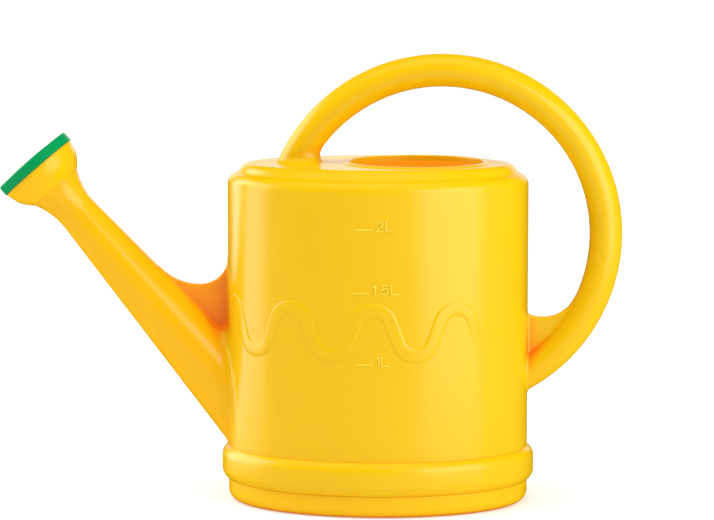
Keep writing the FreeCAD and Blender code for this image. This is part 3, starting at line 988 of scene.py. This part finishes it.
def plastic(name, dark, light, shade_color, rough, shine_level, reach=14.0, painted_glow=None):
    """Glossy moulded plastic: a faint cloudiness in the colour, with painted shade that turns it towards the
    shade colour in corners closed in within their reach in millimetres, an uneven shine and a fine grain. The
    painted glow is an emission that stands in for daylight coming through a thin wall."""
    material = bpy.data.materials.new(name)
    material.use_nodes = True
    tree = material.node_tree
    shader = tree.nodes["Principled BSDF"]
    place = tree.nodes.new("ShaderNodeTexCoord").outputs["Object"]
    # Painted shade: ambient occlusion finds the corners, and there the base colour is mixed from the
    # cloudiness towards the shade colour.
    corner = tree.nodes.new("ShaderNodeAmbientOcclusion")
    corner.inputs["Distance"].default_value = reach * MM
    openness = ramp(tree, corner.outputs["AO"], [(0.25, (0, 0, 0)), (0.8, (1, 1, 1))])
    cloud = ramp(tree, noise(tree, place, CLOUD_SCALE, 3.0), [(0.3, dark), (0.7, light)])
    mix = tree.nodes.new("ShaderNodeMix")
    mix.data_type = "RGBA"
    tree.links.new(openness, mix.inputs["Factor"])
    mix.inputs["A"].default_value = (*shade_color, 1)
    tree.links.new(cloud, mix.inputs["B"])
    tree.links.new(mix.outputs["Result"], shader.inputs["Base Color"])
    spread = tree.nodes.new("ShaderNodeMapRange")
    spread.inputs["To Min"].default_value, spread.inputs["To Max"].default_value = rough
    tree.links.new(noise(tree, place, SHINE_SCALE, 3.0), spread.inputs["Value"])
    tree.links.new(spread.outputs["Result"], shader.inputs["Roughness"])
    bump = tree.nodes.new("ShaderNodeBump")
    bump.inputs["Strength"].default_value = 0.06
    bump.inputs["Distance"].default_value = GRAIN_DEPTH * MM
    tree.links.new(noise(tree, place, GRAIN_SCALE, 2.0), bump.inputs["Height"])
    tree.links.new(bump.outputs["Normal"], shader.inputs["Normal"])
    shader.inputs["IOR"].default_value = 1.5
    shader.inputs["Specular IOR Level"].default_value = shine_level
    # Painted glow: an emission that stands in for light coming through the wall.
    if painted_glow:
        shader.inputs["Emission Color"].default_value = (*painted_glow, 1)
        shader.inputs["Emission Strength"].default_value = 1.0
    return material


def floor_material():
    """White paper, lit from behind as well so that it stays pale under the can."""
    material = bpy.data.materials.new("floor_paper")
    material.use_nodes = True
    shader = material.node_tree.nodes["Principled BSDF"]
    shader.inputs["Base Color"].default_value = (0.6, 0.6, 0.6, 1)
    shader.inputs["Roughness"].default_value = 0.9
    shader.inputs["Specular IOR Level"].default_value = 0.0
    shader.inputs["Emission Color"].default_value = (1, 1, 1, 1)
    shader.inputs["Emission Strength"].default_value = 0.45
    return material


def set_material(piece, material):
    piece.data.materials.clear()
    piece.data.materials.append(material)


# Stage

FLOOR_HALF = 30.0             # metres, as all of the stage is

# Suns show no reflection: name, the way the light goes, strength, spread in degrees and colour
WHITE, LEMON = (1, 1, 1), (0.85, 1, 0.6)
SUNS = (
    ("top_light", (0.1, 0.2, -1), 2.4, 60, WHITE),
    ("right_fill", (-1, 0, -0.25), 1.2, 60, LEMON),
    ("left_fill", (1, -0.25, -0.25), 0.55, 60, LEMON),
)

# Softboxes: name, azimuth in degrees from the front of the can towards the handle, distance, height of the
# middle, width and height, radiance and colour
SOFTBOXES = (
    ("left_softbox", -103, 1.2, 0.4, (1.3, 1.2), 3.4, (1, 1, 0.95)),
    ("right_softbox", 46, 1.2, 0.4, (1.0, 1.2), 3.1, (0.92, 1, 0.9)),
    ("back_softbox", 180, 2.6, 0.75, (3.0, 0.9), 1.2, WHITE),
)
SOFTBOX_AIM = Vector((0, 0, 0.12))

WORLD_COLOR, WORLD_STRENGTH = (1, 0.98, 0.95, 1), 0.12

CAMERA_AIM = Vector((-0.01105, 0, 0.1282))
CAMERA_DISTANCE, CAMERA_LENS = 1.6, 152.2
CAMERA_PITCH, CAMERA_YAW = math.radians(7), math.radians(2.6)


def link(thing):
    bpy.context.scene.collection.objects.link(thing)


def point_along(thing, direction):
    thing.rotation_euler = direction.to_track_quat("-Z", "Y").to_euler()


def add_floor():
    half = FLOOR_HALF
    corners = [(-half, -half, 0), (half, -half, 0), (half, half, 0), (-half, half, 0)]
    mesh = bpy.data.meshes.new("floor")
    mesh.from_pydata(corners, [], [(0, 1, 2, 3)])
    floor = bpy.data.objects.new("floor", mesh)
    link(floor)
    set_material(floor, floor_material())
    floor.visible_glossy = False


def add_sun(name, direction, strength, spread, color):
    data = bpy.data.lights.new(name, "SUN")
    data.energy = strength
    data.angle = math.radians(spread)
    data.color = color
    sun = bpy.data.objects.new(name, data)
    sun.visible_glossy = False
    point_along(sun, Vector(direction))
    link(sun)


def add_softbox(name, azimuth, distance, height, size, radiance, color):
    turn = math.radians(azimuth)
    place = Vector((distance * math.sin(turn), -distance * math.cos(turn), height))
    data = bpy.data.lights.new(name, "AREA")
    data.shape = "RECTANGLE"
    data.size, data.size_y = size
    data.energy = radiance * math.pi * size[0] * size[1]
    data.color = color
    light = bpy.data.objects.new(name, data)
    light.location = place
    light.visible_camera = False
    point_along(light, SOFTBOX_AIM - place)
    link(light)


def add_world():
    world = bpy.data.worlds.new("studio")
    world.use_nodes = True
    background = world.node_tree.nodes["Background"]
    background.inputs["Color"].default_value = WORLD_COLOR
    background.inputs["Strength"].default_value = WORLD_STRENGTH
    bpy.context.scene.world = world
    world.cycles_visibility.glossy = False


def add_camera():
    data = bpy.data.cameras.new("camera")
    data.sensor_width = 36.0
    data.lens = CAMERA_LENS
    data.clip_end = 100
    camera = bpy.data.objects.new("camera", data)
    level = math.cos(CAMERA_PITCH)
    forward = Vector((-math.sin(CAMERA_YAW) * level, math.cos(CAMERA_YAW) * level, -math.sin(CAMERA_PITCH)))
    camera.location = CAMERA_AIM - forward * CAMERA_DISTANCE
    point_along(camera, forward)
    link(camera)
    bpy.context.scene.camera = camera


# The pieces with their materials

# The third yellow is the painted shade colour that corners turn to; the first two bound the plastic's
# cloudiness.
YELLOW_DARK, YELLOW_LIGHT, YELLOW_SHADE = (0.785, 0.453, 0.001), (0.795, 0.460, 0.002), (0.97, 0.11, 0.008)
yellow = plastic("yellow_plastic", YELLOW_DARK, YELLOW_LIGHT, YELLOW_SHADE, (0.21, 0.29), 0.45)
# Painted light: the spout's copy is oranger, standing in for warm light that the tank throws on to it.
spout_bounce_yellow = plastic("yellow_plastic_spout_painted_bounce", (0.85, 0.435, 0.001), (0.86, 0.442, 0.002), YELLOW_SHADE,
                       (0.2, 0.27), 0.45)
# Painted light: a lighter, warmer copy for the foot and the bell, tuned to how they are lit, with painted
# shade reaching only 3 mm into corners.
foot_lit_yellow = plastic("yellow_plastic_foot_painted_light", (0.87, 0.470, 0.001), (0.88, 0.477, 0.002), (0.85, 0.25, 0.004),
                      (0.21, 0.29), 0.35, reach=3.0)
# Painted shade: the webs' copy is a deeper orange, and its corner shade reaches 36 mm, for the shade between
# the spout, the handle and the tank.
web_shaded_yellow = plastic("yellow_plastic_web_painted_shade", (0.96, 0.335, 0.004), (0.97, 0.345, 0.005), (0.97, 0.05, 0.01),
                     (0.25, 0.35), 0.3, reach=36.0)
# Painted light: the level marks are paler, standing in for the light that the raised strokes catch.
marks_lit_yellow = plastic("yellow_plastic_marks_painted_light", (0.82, 0.6, 0.03), (0.82, 0.62, 0.04), YELLOW_DARK,
                      (0.2, 0.3), 0.5)
# The inside of the tank and deck: a darker orange copy of the plastic (painted shade) with a painted glow
# standing in for daylight through the thin wall.
lining_glow_yellow = plastic("yellow_plastic_inside_painted_glow", (0.78, 0.38, 0.002), (0.78, 0.39, 0.003), (0.8, 0.34, 0.002),
                        (0.4, 0.5), 0.3, painted_glow=(0.33, 0.175, 0.009))
green = plastic("green_plastic", (0.0, 0.265, 0.078), (0.0, 0.28, 0.088), (0.0, 0.19, 0.05),
                (0.30, 0.42), 0.12)

MATERIALS = {"rose": green, "level_marks": marks_lit_yellow, "base_pan": foot_lit_yellow, "spout_web": web_shaded_yellow,
             "spout_tube": spout_bounce_yellow, "spout_bell": foot_lit_yellow}
LINED = ("tank_wall", "top_deck")
CRISP = 32.0                  # degrees: edges of the plain pieces that bend more than this stay crisp

pieces, lining_starts = moulding()
for name, solid in {"base_pan": base_pan(), "base_band": base_band(), "fill_rim": fill_rim(),
                    "spout_bell": spout_bell(), "rose": rose(), "wave_relief_front": wave_relief(-1),
                    "wave_relief_back": wave_relief(1), "level_marks": level_marks()}.items():
    pieces[name] = build_mesh(name + "_skin", *solid, sharp=CRISP)

for name, piece in pieces.items():
    on_rose = name == "rose"
    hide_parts(name)
    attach(piece, "rose" if on_rose else "can")
    set_material(piece, MATERIALS.get(name, yellow))
    if name in LINED:
        piece.data.materials.append(lining_glow_yellow)
        inside = np.arange(len(piece.data.polygons)) >= lining_starts[name]
        piece.data.polygons.foreach_set("material_index", inside.astype(int))

add_floor()
add_world()
for sun in SUNS:
    add_sun(*sun)
for softbox in SOFTBOXES:
    add_softbox(*softbox)
add_camera()
bpy.context.scene.view_settings.view_transform = "Standard"
